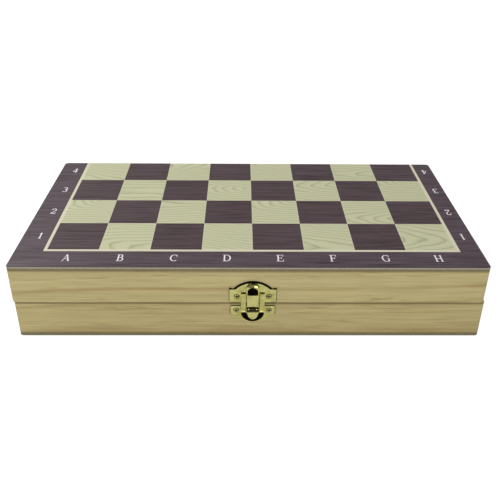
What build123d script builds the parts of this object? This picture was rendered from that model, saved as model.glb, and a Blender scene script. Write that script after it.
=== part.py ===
from build123d import *
import os

# A folding magnetic chess set: two shallow pine trays hinged along the back, with half of the
# chessboard on the outside of each, a toggle latch at the front, and foam trays that hold the men.
# Millimetres. +X runs along the latch side, +Y from the latch to the hinges, +Z up.
# The origin is the centre of the closed box's underside.

os.makedirs("parts", exist_ok=True)

# Driving sizes of the closed box
width = 300.0
depth = 150.0
height = 53.4
corner_radius = 2.5
seam_gap = 0.2
lid_slip = 0.8  # the upper half is glued up this far to the left of the lower one

# The layers of each board face, from the outside in
print_thickness = 0.3
steel_thickness = 0.3
panel_thickness = 2.1
steel_inset = 6.0

# The rails round each half
rail_thickness = 8.0
board_thickness = print_thickness + panel_thickness
rim_height = (height - seam_gap) / 2

# Small brass-plated screws: a countersunk head and a plain shank
screw_head_radius = 2.0
screw_shank_radius = 0.9
screw_head_height = 1.0
screw_length = 6.0
screw_slot_width = 0.55
screw_slot_depth = 0.5
screw_slot_reach = 1.3

# The two butt hinges at the back
hinge_end_distance = 55.0
hinge_length = 25.0
hinge_leaf_thickness = 1.0
hinge_leaf_inset = 1.2
hinge_knuckle_radius = 1.75
hinge_pin_radius = 0.8
hinge_running_gap = 0.05
hinge_knuckle_gap = 0.25
hinge_notch_gap = 0.35
hinge_screw_spacing = 8.5
fold_gap = 0.2

# The toggle latch at the front: t is the distance out from the wood, z is counted from the seam
latch_offset = 1.3
latch_sheet = 0.6
strike_half_width = 14.7
strike_bottom = 0.8
strike_shoulder = 11.9
strike_dome_half_width = 12.3
strike_dome_start = 11.0
strike_top = 16.9
strike_screw_x = 10.2
strike_screw_z = 5.3
base_half_width = 14.1
base_top = -2.5
base_shoulder = -8.8
base_dome_half_width = 11.8
base_bottom = -14.8
base_screw_x = 10.5
base_screw_z = -5.6
window_half_width = 6.9
window_top = -7.4
window_wall = 0.9
lever_pin_t = 2.1
lever_pin_z = -3.7
lever_pin_radius = 0.4
link_pin_t = 1.75
link_pin_z = -5.2
link_pin_radius = 0.4
latch_running_gap = 0.05
ear_radius = 0.8
ear_inner = 2.3
ear_thickness = 0.6
lever_half_width = 3.75
lever_wall = 0.6
lever_front_t = 3.8
lever_front_rise = 0.1
tab_half_width = 3.2
tab_length = 3.5
tab_curl = 0.9
link_half_width = 7.5
link_slot_half_width = 4.3
link_top = 8.0
link_crossbar = 1.6
link_eye_radius = 0.8
link_panel_half_width = 3.9
link_panel_t = 3.5
link_panel_bottom = -0.7
loop_half_width = 4.3
loop_wall = 1.0
loop_spring = 10.6
loop_top = 15.3
hook_root_half_width = 1.2
hook_half_width = 3.7
hook_t = 3.0
hook_root_gap = 0.5
hook_top = 16.0

# The foam trays and the chess pieces in them
foam_floor = 2.0
foam_height = 13.5
foam_side_gap = 0.3
pocket_gap = 0.35
pocket_foot_share = 0.3
pocket_neck_share = 0.8
magnet_radius = 4.0
magnet_thickness = 2.5
felt_thickness = 0.8
felt_inset = 0.8
foam_front_wall = 8.35
foam_rear_wall = 14.35
foam_end_wall = 11.05

king_height = 58.0
king_radius = 10.0
queen_height = 52.0
queen_radius = 9.6
bishop_height = 46.0
bishop_radius = 9.0
knight_height = 42.0
knight_radius = 9.2
rook_height = 37.0
rook_radius = 9.2
pawn_height = 32.0
pawn_radius = 7.8


def save(builder, name):
    """Label a finished piece and write it out."""
    builder.part.label = name
    export_step(builder.part, f"parts/{name}.step")


# The planes of the two halves: each has its origin on its own board face and looks into the box
lower_half = Plane.XY
upper_half = Plane(origin=(-lid_slip, 0, height), x_dir=(-1, 0, 0), z_dir=(0, 0, -1))
halves = [("lower", lower_half), ("upper", upper_half)]

hinge_y = depth / 2 + fold_gap / 2
hinge_z = height / 2
hinge_reach = width / 2 - hinge_end_distance
hinge_places = [("left", -hinge_reach), ("right", hinge_reach)]
leaf_depth = rail_thickness - hinge_leaf_inset
leaf_notch_radius = hinge_knuckle_radius + hinge_notch_gap
leaf_edge_y = hinge_y - leaf_notch_radius
leaf_screw_y = (depth / 2 - rail_thickness + hinge_leaf_inset + leaf_edge_y) / 2
leaf_screw_steps = [-hinge_screw_spacing, 0, hinge_screw_spacing]

# Where every screw stands: its head's centre, with the axis pointing out of its head
hinge_screw_planes = {
    "lower": [
        Plane(origin=(x + step, leaf_screw_y, rim_height), z_dir=(0, 0, 1))
        for side, x in hinge_places
        for step in leaf_screw_steps
    ],
    "upper": [
        Plane(origin=(x + step, leaf_screw_y, height - rim_height), z_dir=(0, 0, -1))
        for side, x in hinge_places
        for step in leaf_screw_steps
    ],
}
latch_screw_planes = {
    "lower": [
        Plane(
            origin=(latch_offset + side * base_screw_x, -depth / 2 - latch_sheet, hinge_z + base_screw_z),
            x_dir=(1, 0, 0),
            z_dir=(0, -1, 0),
        )
        for side in (-1, 1)
    ],
    "upper": [
        Plane(
            origin=(latch_offset + side * strike_screw_x, -depth / 2 - latch_sheet, hinge_z + strike_screw_z),
            x_dir=(1, 0, 0),
            z_dir=(0, -1, 0),
        )
        for side in (-1, 1)
    ],
}


# The rails of the two halves. The front and rear rails run the full width, and the end rails
# stand between them. The rear rails are cut for the hinges, and the screws have pilot holes.
for half, plane in halves:
    with BuildPart() as frame_ring:
        with BuildSketch(plane.offset(board_thickness)):
            RectangleRounded(width, depth, corner_radius)
            Rectangle(width - 2 * rail_thickness, depth - 2 * rail_thickness, mode=Mode.SUBTRACT)
        extrude(amount=rim_height - board_thickness)

    right = plane.x_dir.X
    rail_places = {
        "front": (0, -1, width, rail_thickness),
        "rear": (0, 1, width, rail_thickness),
        "left": (-right, 0, rail_thickness, depth - 2 * rail_thickness),
        "right": (right, 0, rail_thickness, depth - 2 * rail_thickness),
    }
    for side, (along_x, along_y, rail_width, rail_depth) in rail_places.items():
        with BuildPart() as rail:
            add(frame_ring.part)
            with BuildSketch(plane.offset(board_thickness)):
                with Locations((along_x * (width - rail_width) / 2, along_y * (depth - rail_depth) / 2)):
                    Rectangle(rail_width, rail_depth)
            extrude(amount=rim_height - board_thickness, mode=Mode.INTERSECT)
            if side == "rear":
                with Locations(*[(x, hinge_y, hinge_z) for hinge, x in hinge_places]):
                    Cylinder(
                        leaf_notch_radius,
                        hinge_length + 2 * hinge_knuckle_gap,
                        rotation=(0, 90, 0),
                        mode=Mode.SUBTRACT,
                    )
                leaf_z = hinge_z - seam_gap / 2 - hinge_leaf_thickness
                if half == "upper":
                    leaf_z = hinge_z + seam_gap / 2
                with Locations(*[(x, depth / 2, leaf_z) for hinge, x in hinge_places]):
                    Box(
                        hinge_length + 2 * hinge_knuckle_gap,
                        leaf_depth,
                        hinge_leaf_thickness,
                        align=(Align.CENTER, Align.MAX, Align.MIN),
                        mode=Mode.SUBTRACT,
                    )
                with Locations(*hinge_screw_planes[half]):
                    Cylinder(
                        screw_shank_radius,
                        screw_length,
                        align=(Align.CENTER, Align.CENTER, Align.MAX),
                        mode=Mode.SUBTRACT,
                    )
            if side == "front":
                with Locations(*latch_screw_planes[half]):
                    Cylinder(
                        screw_shank_radius,
                        screw_length,
                        align=(Align.CENTER, Align.CENTER, Align.MAX),
                        mode=Mode.SUBTRACT,
                    )
                    Cone(
                        screw_shank_radius,
                        screw_head_radius,
                        screw_head_height,
                        align=(Align.CENTER, Align.CENTER, Align.MAX),
                        mode=Mode.SUBTRACT,
                    )
        save(rail, f"{half}_{side}_rail")

    # The board panel is glued on the rails, with a shallow bed for the steel sheet in its face
    with BuildPart() as panel:
        with BuildSketch(plane.offset(print_thickness)):
            RectangleRounded(width, depth, corner_radius)
        extrude(amount=panel_thickness)
        with BuildSketch(plane.offset(print_thickness)):
            Rectangle(width - 2 * steel_inset, depth - 2 * steel_inset)
        extrude(amount=steel_thickness, mode=Mode.SUBTRACT)
    save(panel, f"{half}_board_panel")

    # The steel sheet fills that bed
    with BuildPart() as steel:
        with BuildSketch(plane.offset(print_thickness)):
            Rectangle(width - 2 * steel_inset, depth - 2 * steel_inset)
        extrude(amount=steel_thickness)
    save(steel, f"{half}_steel_sheet")

    # The printed sheet covers the whole face
    with BuildPart() as sheet:
        with BuildSketch(plane):
            RectangleRounded(width, depth, corner_radius)
        extrude(amount=print_thickness)
    save(sheet, f"{half}_playing_sheet")


# The butt hinges. The pin lies on the seam, just behind the back faces, so that the halves turn
# through 180 degrees until those faces meet. The lower leaf has the outer knuckles.
knuckle_length = (hinge_length - 2 * hinge_knuckle_gap) / 3
knuckle_step = knuckle_length + hinge_knuckle_gap
for side, x in hinge_places:
    leaf_knuckles = {"lower": [x - knuckle_step, x + knuckle_step], "upper": [x]}
    leaf_bottoms = {"lower": hinge_z - seam_gap / 2 - hinge_leaf_thickness, "upper": hinge_z + seam_gap / 2}
    for half, plane in halves:
        knuckle_bore = hinge_pin_radius
        if half == "upper":
            knuckle_bore = hinge_pin_radius + hinge_running_gap
        with BuildPart() as leaf:
            with BuildSketch(Plane.XY.offset(leaf_bottoms[half])):
                with Locations((x, leaf_edge_y)):
                    Rectangle(
                        hinge_length,
                        leaf_edge_y - (depth / 2 - leaf_depth),
                        align=(Align.CENTER, Align.MAX),
                    )
                with Locations(*[(knuckle_x, leaf_edge_y) for knuckle_x in leaf_knuckles[half]]):
                    Rectangle(knuckle_length, hinge_y - leaf_edge_y, align=(Align.CENTER, Align.MIN))
            extrude(amount=hinge_leaf_thickness)
            with Locations(*[(knuckle_x, hinge_y, hinge_z) for knuckle_x in leaf_knuckles[half]]):
                Cylinder(hinge_knuckle_radius, knuckle_length, rotation=(0, 90, 0))
                Cylinder(knuckle_bore, knuckle_length, rotation=(0, 90, 0), mode=Mode.SUBTRACT)
            with Locations(*hinge_screw_planes[half]):
                Cone(
                    screw_shank_radius,
                    screw_head_radius,
                    screw_head_height,
                    align=(Align.CENTER, Align.CENTER, Align.MAX),
                    mode=Mode.SUBTRACT,
                )
        save(leaf, f"{side}_hinge_{half}_leaf")

    with BuildPart() as pin:
        with Locations((x, hinge_y, hinge_z)):
            Cylinder(hinge_pin_radius, hinge_length, rotation=(0, 90, 0))
    save(pin, f"{side}_hinge_pin")


# A cross-head screw, drawn standing on its tip's side of the XY plane with its head flush at z = 0
with BuildPart() as screw:
    Cone(
        screw_shank_radius,
        screw_head_radius,
        screw_head_height,
        align=(Align.CENTER, Align.CENTER, Align.MAX),
    )
    Cylinder(screw_shank_radius, screw_length, align=(Align.CENTER, Align.CENTER, Align.MAX))
    for turn in (0, 90):
        Box(
            2 * screw_slot_reach,
            screw_slot_width,
            screw_slot_depth,
            rotation=(0, 0, turn),
            align=(Align.CENTER, Align.CENTER, Align.MAX),
            mode=Mode.SUBTRACT,
        )

screw_groups = {
    "lower_hinge_screws": hinge_screw_planes["lower"],
    "upper_hinge_screws": hinge_screw_planes["upper"],
    "latch_base_screws": latch_screw_planes["lower"],
    "latch_strike_screws": latch_screw_planes["upper"],
}
for name, screw_planes in screw_groups.items():
    with BuildPart() as screws:
        with Locations(*screw_planes):
            add(screw.part)
    save(screws, name)


# The latch. Its plates are drawn on planes parallel to the front face, t out from the wood.
def latch_plane(t):
    """The plane t out from the front face, centred on the latch at the seam."""
    return Plane(origin=(latch_offset, -depth / 2 - t, hinge_z), x_dir=(1, 0, 0), z_dir=(0, -1, 0))


def latch_section(x):
    """The plane square to the latch at x: its own x runs out from the wood and its y runs up."""
    return Plane(origin=(latch_offset + x, -depth / 2, hinge_z), x_dir=(0, -1, 0), z_dir=(-1, 0, 0))


link_t = link_pin_t - link_eye_radius
loop_hole_half_width = loop_half_width - loop_wall
loop_hole_top = loop_top - loop_wall
hook_root_top = loop_hole_top - hook_root_gap
hook_shoulder = hook_root_top + latch_sheet / 2

# The strike plate on the upper half, with the hook that the link's loop drops over
with BuildPart() as strike:
    with BuildSketch(latch_plane(0)):
        with BuildLine():
            Polyline(
                (-strike_dome_half_width, strike_dome_start),
                (-strike_half_width, strike_shoulder),
                (-strike_half_width, strike_bottom),
                (strike_half_width, strike_bottom),
                (strike_half_width, strike_shoulder),
                (strike_dome_half_width, strike_dome_start),
            )
            ThreePointArc(
                (strike_dome_half_width, strike_dome_start),
                (0, strike_top),
                (-strike_dome_half_width, strike_dome_start),
            )
        make_face()
    extrude(amount=latch_sheet)
    with BuildSketch(latch_plane(latch_sheet)):
        with Locations((0, hook_root_top)):
            Rectangle(2 * hook_root_half_width, latch_sheet, align=(Align.CENTER, Align.MAX))
    extrude(amount=hook_t - latch_sheet)
    with BuildSketch(latch_plane(hook_t - latch_sheet)):
        with BuildLine():
            Polyline(
                (-hook_half_width, hook_shoulder),
                (-hook_root_half_width, hook_root_top - latch_sheet),
                (hook_root_half_width, hook_root_top - latch_sheet),
                (hook_half_width, hook_shoulder),
            )
            ThreePointArc((hook_half_width, hook_shoulder), (0, hook_top), (-hook_half_width, hook_shoulder))
        make_face()
    extrude(amount=latch_sheet)
    with Locations(*latch_screw_planes["upper"]):
        Cone(
            screw_shank_radius,
            screw_head_radius,
            screw_head_height,
            align=(Align.CENTER, Align.CENTER, Align.MAX),
            mode=Mode.SUBTRACT,
        )
save(strike, "latch_strike_plate")


# The base plate on the lower half, with the ears that carry the lever's pin
with BuildPart() as base:
    with BuildSketch(latch_plane(0)):
        with BuildLine():
            Polyline(
                (-base_dome_half_width, base_shoulder),
                (-base_half_width, base_shoulder),
                (-base_half_width, base_top),
                (base_half_width, base_top),
                (base_half_width, base_shoulder),
                (base_dome_half_width, base_shoulder),
            )
            ThreePointArc(
                (base_dome_half_width, base_shoulder),
                (0, base_bottom),
                (-base_dome_half_width, base_shoulder),
            )
        make_face()
        with BuildLine():
            Line((-window_half_width, window_top), (window_half_width, window_top))
            ThreePointArc(
                (window_half_width, window_top),
                (0, base_bottom + window_wall),
                (-window_half_width, window_top),
            )
        make_face(mode=Mode.SUBTRACT)
    extrude(amount=latch_sheet)
    for x in (-ear_inner, ear_inner + ear_thickness):
        with BuildSketch(latch_section(x)):
            with Locations((0, lever_pin_z)):
                Rectangle(lever_pin_t, 2 * ear_radius, align=(Align.MIN, Align.CENTER))
            with Locations((lever_pin_t, lever_pin_z)):
                Circle(ear_radius)
                Circle(lever_pin_radius, mode=Mode.SUBTRACT)
        extrude(amount=ear_thickness)
    with Locations(*latch_screw_planes["lower"]):
        Cone(
            screw_shank_radius,
            screw_head_radius,
            screw_head_height,
            align=(Align.CENTER, Align.CENTER, Align.MAX),
            mode=Mode.SUBTRACT,
        )
save(base, "latch_base_plate")


# The lever's finger tab, which curls out from its front and has a round end
cheek_bottom = link_pin_z - link_eye_radius
with BuildPart() as finger_tab:
    with BuildSketch(latch_section(tab_half_width)):
        with BuildLine():
            tab_inner = ThreePointArc(
                (lever_front_t - lever_wall, cheek_bottom),
                (lever_front_t - lever_wall + tab_curl / 4, cheek_bottom - tab_length / 2),
                (lever_front_t - lever_wall + tab_curl, cheek_bottom - tab_length),
            )
            tab_outer = ThreePointArc(
                (lever_front_t + tab_curl, cheek_bottom - tab_length),
                (lever_front_t + tab_curl / 4, cheek_bottom - tab_length / 2),
                (lever_front_t, cheek_bottom),
            )
            Line(tab_inner @ 1, tab_outer @ 0)
            Line(tab_outer @ 1, tab_inner @ 0)
        make_face()
    extrude(amount=2 * tab_half_width)
    with BuildSketch(latch_plane(0)):
        with Locations((0, cheek_bottom - tab_length + tab_half_width)):
            Circle(tab_half_width)
            Rectangle(2 * tab_half_width, tab_length, align=(Align.CENTER, Align.MIN))
    extrude(amount=lever_front_t + 2 * tab_curl, mode=Mode.INTERSECT)

# The lever: two cheeks that turn on the ears, with a front plate and the finger tab
with BuildPart() as lever:
    lever_top = lever_pin_z + lever_front_rise
    for x in (-lever_half_width + lever_wall, lever_half_width):
        with BuildSketch(latch_section(x)):
            with Locations((lever_front_t, lever_top)):
                Rectangle(lever_front_t - lever_pin_t, lever_front_rise, align=(Align.MAX, Align.MAX))
            with Locations((lever_front_t, lever_pin_z)):
                Rectangle(lever_front_t - link_t, lever_pin_z - cheek_bottom, align=(Align.MAX, Align.MAX))
            with Locations((lever_pin_t, lever_pin_z)):
                Circle(ear_radius)
                Circle(lever_pin_radius + latch_running_gap, mode=Mode.SUBTRACT)
            with Locations((link_pin_t, link_pin_z)):
                Circle(link_pin_radius, mode=Mode.SUBTRACT)
        extrude(amount=lever_wall)
    with BuildSketch(latch_section(lever_half_width)):
        with Locations((lever_front_t, lever_top)):
            Rectangle(lever_wall, lever_top - cheek_bottom, align=(Align.MAX, Align.MAX))
    extrude(amount=2 * lever_half_width)
    add(finger_tab.part)
save(lever, "latch_lever")


# The lever's pin is riveted in the ears, and the link's pin in the cheeks
with BuildPart() as lever_pin:
    with BuildSketch(latch_section(lever_half_width)):
        with Locations((lever_pin_t, lever_pin_z)):
            Circle(lever_pin_radius)
    extrude(amount=2 * lever_half_width)
save(lever_pin, "latch_lever_pin")

with BuildPart() as link_pin:
    with BuildSketch(latch_section(link_half_width)):
        with Locations((link_pin_t, link_pin_z)):
            Circle(link_pin_radius)
    extrude(amount=2 * link_half_width)
save(link_pin, "latch_link_pin")


# The link: a stamped frame with two side bars, an arched loop at its top, a raised panel
# between the bars, and an eye rolled round the link's pin at each bar's foot
with BuildPart() as link:
    with BuildSketch(latch_plane(link_t)):
        with Locations((0, link_top)):
            Rectangle(2 * link_half_width, link_top - link_pin_z, align=(Align.CENTER, Align.MAX))
        with Locations((0, link_pin_z)):
            Rectangle(
                2 * link_slot_half_width,
                link_top - link_crossbar - link_pin_z,
                align=(Align.CENTER, Align.MIN),
                mode=Mode.SUBTRACT,
            )
        with BuildLine():
            Polyline(
                (-loop_half_width, loop_spring),
                (-loop_half_width, link_top),
                (loop_half_width, link_top),
                (loop_half_width, loop_spring),
            )
            EllipticalCenterArc(
                (0, loop_spring), loop_half_width, loop_top - loop_spring, arc_size=180
            )
        make_face()
        with BuildLine():
            Polyline(
                (-loop_hole_half_width, loop_spring),
                (-loop_hole_half_width, link_top),
                (loop_hole_half_width, link_top),
                (loop_hole_half_width, loop_spring),
            )
            EllipticalCenterArc(
                (0, loop_spring), loop_hole_half_width, loop_hole_top - loop_spring, arc_size=180
            )
        make_face(mode=Mode.SUBTRACT)
    extrude(amount=latch_sheet)
    with BuildSketch(latch_plane(link_t)):
        with Locations((0, link_top)):
            Rectangle(2 * link_panel_half_width, latch_sheet, align=(Align.CENTER, Align.MAX))
    extrude(amount=link_panel_t - link_t)
    with BuildSketch(latch_plane(link_panel_t - latch_sheet)):
        with Locations((0, link_top)):
            Rectangle(
                2 * link_panel_half_width, link_top - link_panel_bottom, align=(Align.CENTER, Align.MAX)
            )
    extrude(amount=latch_sheet)
    for x in (-link_slot_half_width, link_half_width):
        with BuildSketch(latch_section(x)):
            with Locations((link_pin_t, link_pin_z)):
                Circle(link_eye_radius)
        extrude(amount=link_half_width - link_slot_half_width)
        with BuildSketch(latch_section(x)):
            with Locations((link_pin_t, link_pin_z)):
                Circle(link_pin_radius + latch_running_gap)
        extrude(amount=link_half_width - link_slot_half_width, mode=Mode.SUBTRACT)
save(link, "latch_link")


# The chess pieces. Each turned outline is a list of stations: radius as a share of the base's
# radius, height as a share of the wooden height, and how far an arc to that station swells (+) or
# hollows (-), as a share of the base's radius.
base_stations = [(0, 0, 0), (0.96, 0, 0), (1.0, 0.03, 0), (1.0, 0.07, 0), (0.9, 0.115, 0.02)]
turnings = {
    "pawn": base_stations
    + [(0.8, 0.15, 0), (0.34, 0.5, -0.1), (0.4, 0.56, 0), (0.58, 0.6, 0.03), (0.34, 0.64, 0.03)]
    + [(0, 0.64, 0)],
    "rook": base_stations
    + [(0.8, 0.15, 0), (0.5, 0.5, -0.08), (0.48, 0.68, 0), (0.7, 0.73, -0.04), (0.7, 1.0, 0), (0, 1.0, 0)],
    "knight": base_stations + [(0.8, 0.16, 0), (0.72, 0.22, -0.03), (0.72, 0.26, 0.03), (0, 0.26, 0)],
    "bishop": base_stations
    + [(0.8, 0.13, 0), (0.34, 0.48, -0.12), (0.36, 0.6, 0), (0.62, 0.63, 0.03), (0.36, 0.66, 0.03)]
    + [(0.32, 0.69, 0), (0.5, 0.77, 0.04), (0.1, 0.93, 0.06), (0, 0.93, 0)],
    "queen": base_stations
    + [(0.8, 0.12, 0), (0.36, 0.48, -0.14), (0.36, 0.64, 0), (0.64, 0.67, 0.03), (0.4, 0.7, 0.03)]
    + [(0.38, 0.73, 0), (0.66, 0.91, -0.06), (0.58, 0.93, 0), (0.2, 0.945, -0.04), (0, 0.945, 0)],
    "king": base_stations
    + [(0.8, 0.11, 0), (0.38, 0.46, -0.14), (0.38, 0.63, 0), (0.66, 0.66, 0.03), (0.42, 0.69, 0.03)]
    + [(0.4, 0.71, 0), (0.62, 0.86, -0.04), (0.54, 0.885, 0.03), (0, 0.91, 0.05)],
}
men = {
    "pawn": (pawn_height, pawn_radius),
    "rook": (rook_height, rook_radius),
    "knight": (knight_height, knight_radius),
    "bishop": (bishop_height, bishop_radius),
    "queen": (queen_height, queen_radius),
    "king": (king_height, king_radius),
}
ball_shares = {"pawn": 0.5, "bishop": 0.18, "queen": 0.2}
rook_bowl_share = 0.5
rook_bowl_depth = 2.6
rook_slot_width = 2.4
bishop_slit_width = 1.0
bishop_slit_tilt = 35
bishop_slit_height = 0.85
queen_notches = 8
queen_notch_radius = 1.3
queen_crown_height = 0.93
queen_crown_share = 0.66
king_cross_width = 1.8
king_cross_span = 5.0
king_cross_height = 6.4
king_arm_drop = 2.4
knight_thickness = 8.0
knight_edge_radius = 1.0
horse_outline = [
    (-0.6, 0.24),
    (-0.68, 0.5),
    (-0.5, 0.75),
    (-0.14, 0.93),
    (0.0, 1.0),
    (0.12, 0.92),
    (0.36, 0.84),
    (0.72, 0.66),
    (0.76, 0.59),
    (0.58, 0.53),
    (0.26, 0.6),
    (0.5, 0.4),
    (0.58, 0.24),
]

# The knight's head is sawn from a thin board and its edges are rounded
knight_wood_height = knight_height - felt_thickness
with BuildPart() as horse_head:
    with BuildSketch(Plane.XZ):
        with BuildLine():
            horse = [(r * knight_radius, z * knight_wood_height) for r, z in horse_outline]
            mane = Spline(*horse[:4])
            Polyline(mane @ 1, *horse[4:], mane @ 0)
        make_face()
    extrude(amount=knight_thickness / 2, both=True)
    fillet(horse_head.faces().filter_by(Plane.XZ).edges(), knight_edge_radius)

wooden_men = {}
for kind, (man_height, man_radius) in men.items():
    wood_height = man_height - felt_thickness
    with BuildPart() as man:
        with BuildSketch(Plane.XZ):
            stations = [(r * man_radius, z * wood_height, bulge) for r, z, bulge in turnings[kind]]
            with BuildLine():
                for (r0, z0, _), (r1, z1, bulge) in zip(stations, stations[1:]):
                    if bulge == 0:
                        Line((r0, z0), (r1, z1))
                    else:
                        SagittaArc((r0, z0), (r1, z1), -bulge * man_radius)
                Line((0, stations[-1][1]), (0, 0))
            make_face()
        revolve(axis=Axis.Z)
        if kind in ball_shares:
            ball_radius = ball_shares[kind] * man_radius
            with Locations((0, 0, wood_height - ball_radius)):
                Sphere(ball_radius)
        if kind == "rook":
            with Locations((0, 0, wood_height)):
                Cylinder(
                    rook_bowl_share * man_radius,
                    rook_bowl_depth,
                    align=(Align.CENTER, Align.CENTER, Align.MAX),
                    mode=Mode.SUBTRACT,
                )
                for turn in (0, 60, 120):
                    Box(
                        2 * man_radius,
                        rook_slot_width,
                        rook_bowl_depth,
                        rotation=(0, 0, turn),
                        align=(Align.CENTER, Align.CENTER, Align.MAX),
                        mode=Mode.SUBTRACT,
                    )
        if kind == "bishop":
            with Locations((0.5 * man_radius, 0, bishop_slit_height * wood_height)):
                Box(
                    man_radius,
                    2 * man_radius,
                    bishop_slit_width,
                    rotation=(0, bishop_slit_tilt, 0),
                    mode=Mode.SUBTRACT,
                )
        if kind == "queen":
            with Locations((0, 0, queen_crown_height * wood_height)):
                with PolarLocations(queen_crown_share * man_radius, queen_notches):
                    Sphere(queen_notch_radius, mode=Mode.SUBTRACT)
        if kind == "king":
            with Locations((0, 0, wood_height)):
                Box(
                    king_cross_width,
                    king_cross_width,
                    king_cross_height,
                    align=(Align.CENTER, Align.CENTER, Align.MAX),
                )
            with Locations((0, 0, wood_height - king_arm_drop)):
                Box(king_cross_span, king_cross_width, king_cross_width)
        if kind == "knight":
            add(horse_head.part)
    wooden_men[kind] = man.part


# The men lie in two rows in each half, feet towards the latch, light ones below and dark above
tray_width = width - 2 * rail_thickness - 2 * foam_side_gap
tray_depth = depth - 2 * rail_thickness - 2 * foam_side_gap
back_row = ["rook", "knight", "bishop", "queen", "king", "bishop", "knight", "rook"]
last_column = tray_width / 2 - foam_end_wall - pocket_gap - rook_radius
man_pitch = 2 * last_column / (len(back_row) - 1)
columns = [i * man_pitch - last_column for i in range(len(back_row))]
back_row_y = -tray_depth / 2 + foam_front_wall + pocket_gap
pawn_row_y = tray_depth / 2 - foam_rear_wall - pocket_gap - pawn_height
places = [(kind, x, back_row_y) for kind, x in zip(back_row, columns)]
places += [("pawn", x, pawn_row_y) for x in columns]
colours = {"lower": "light", "upper": "dark"}

for half, plane in halves:
    colour = colours[half]
    floor_z = board_thickness + foam_floor

    # The foam tray, with a pocket for each man: a wide end for its foot and a narrower one beyond
    with BuildPart() as tray:
        with BuildSketch(plane.offset(board_thickness)):
            Rectangle(tray_width, tray_depth)
        extrude(amount=foam_height)
        for kind, x, y in places:
            man_height, man_radius = men[kind]
            pocket_length = man_height + 2 * pocket_gap
            foot_length = pocket_foot_share * man_height + 2 * pocket_gap
            with BuildSketch(plane.offset(floor_z)):
                with Locations((x, y - pocket_gap)):
                    Rectangle(
                        2 * (pocket_neck_share * man_radius + pocket_gap),
                        pocket_length,
                        align=(Align.CENTER, Align.MIN),
                    )
                    Rectangle(
                        2 * (man_radius + pocket_gap), foot_length, align=(Align.CENTER, Align.MIN)
                    )
            extrude(amount=foam_height, mode=Mode.SUBTRACT)
    save(tray, f"{half}_foam_tray")

    # Where each man stands in its half: the plane's z runs from its foot to its head
    seats = {
        kind: [
            Plane(
                origin=plane.from_local_coords(Vector(x, y, floor_z + men[kind][1])),
                x_dir=plane.x_dir,
                z_dir=(0, 1, 0),
            )
            for place, x, y in places
            if place == kind
        ]
        for kind in men
    }

    groups = {"king": seats["king"], "queen": seats["queen"], "pawns": seats["pawn"]}
    for kind in ("rook", "knight", "bishop"):
        west, east = sorted(seats[kind], key=lambda seat: seat.origin.X)
        groups[f"left_{kind}"] = [west]
        groups[f"right_{kind}"] = [east]
    for name, standing in groups.items():
        kind = name.split("_")[-1].rstrip("s")
        with BuildPart() as turned_men:
            with Locations(*[seat.offset(felt_thickness) for seat in standing]):
                add(wooden_men[kind])
                Cylinder(
                    magnet_radius,
                    magnet_thickness,
                    align=(Align.CENTER, Align.CENTER, Align.MIN),
                    mode=Mode.SUBTRACT,
                )
        save(turned_men, f"{colour}_{name}")

    with BuildPart() as magnets:
        with Locations(*[seat.offset(felt_thickness) for kind in men for seat in seats[kind]]):
            Cylinder(magnet_radius, magnet_thickness, align=(Align.CENTER, Align.CENTER, Align.MIN))
    save(magnets, f"{colour}_magnets")

    with BuildPart() as felts:
        for kind in men:
            with Locations(*seats[kind]):
                Cylinder(
                    men[kind][1] - felt_inset,
                    felt_thickness,
                    align=(Align.CENTER, Align.CENTER, Align.MIN),
                )
    save(felts, f"{colour}_felts")
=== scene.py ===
import math

import bmesh
import bpy
from mathutils import Matrix, Vector
from mathutils.geometry import delaunay_2d_cdt


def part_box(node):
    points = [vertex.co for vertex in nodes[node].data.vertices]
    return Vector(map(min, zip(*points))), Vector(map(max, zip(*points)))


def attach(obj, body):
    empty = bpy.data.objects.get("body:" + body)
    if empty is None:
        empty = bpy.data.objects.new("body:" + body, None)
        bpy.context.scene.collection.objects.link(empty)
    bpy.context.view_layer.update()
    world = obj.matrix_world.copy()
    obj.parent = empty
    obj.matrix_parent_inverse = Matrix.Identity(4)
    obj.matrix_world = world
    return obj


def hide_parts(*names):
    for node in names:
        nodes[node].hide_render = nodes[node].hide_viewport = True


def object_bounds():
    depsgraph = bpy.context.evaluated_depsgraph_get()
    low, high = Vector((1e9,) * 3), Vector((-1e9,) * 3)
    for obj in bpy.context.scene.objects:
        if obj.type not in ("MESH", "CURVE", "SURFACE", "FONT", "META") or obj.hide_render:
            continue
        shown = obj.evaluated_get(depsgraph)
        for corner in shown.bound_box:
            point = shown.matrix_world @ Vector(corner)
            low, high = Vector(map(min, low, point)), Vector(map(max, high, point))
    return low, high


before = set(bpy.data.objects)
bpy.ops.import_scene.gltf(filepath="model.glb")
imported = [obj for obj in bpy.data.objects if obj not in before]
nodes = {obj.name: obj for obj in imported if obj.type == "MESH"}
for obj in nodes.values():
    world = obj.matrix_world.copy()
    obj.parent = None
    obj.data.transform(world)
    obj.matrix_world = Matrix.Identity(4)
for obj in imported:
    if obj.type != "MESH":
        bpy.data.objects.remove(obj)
cad_low, cad_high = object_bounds()
mm = 0.001


# The box stands on white paper, which keeps the soft shadow under it. Two soft lights stand at the
# front and the back left, and a dark curtain hangs behind and overhead, where only polished faces
# mirror it. The camera is a forearm's length in front of the box and a little above it.
def srgb(red, green, blue):
    """A colour read off a screen, 0 to 255, as the linear colour that shaders take."""
    channels = [c / 255 for c in (red, green, blue)]
    linear = [c / 12.92 if c <= 0.04045 else ((c + 0.055) / 1.055) ** 2.4 for c in channels]
    return (*linear, 1.0)


def add_node(tree, kind, inputs=None, **settings):
    """A node with its settings, whose inputs are given by name or number as values or sockets."""
    made = tree.nodes.new(kind)
    for name, value in settings.items():
        setattr(made, name, value)
    for key, value in (inputs or {}).items():
        if isinstance(value, bpy.types.NodeSocket):
            tree.links.new(value, made.inputs[key])
        else:
            made.inputs[key].default_value = value
    return made


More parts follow.
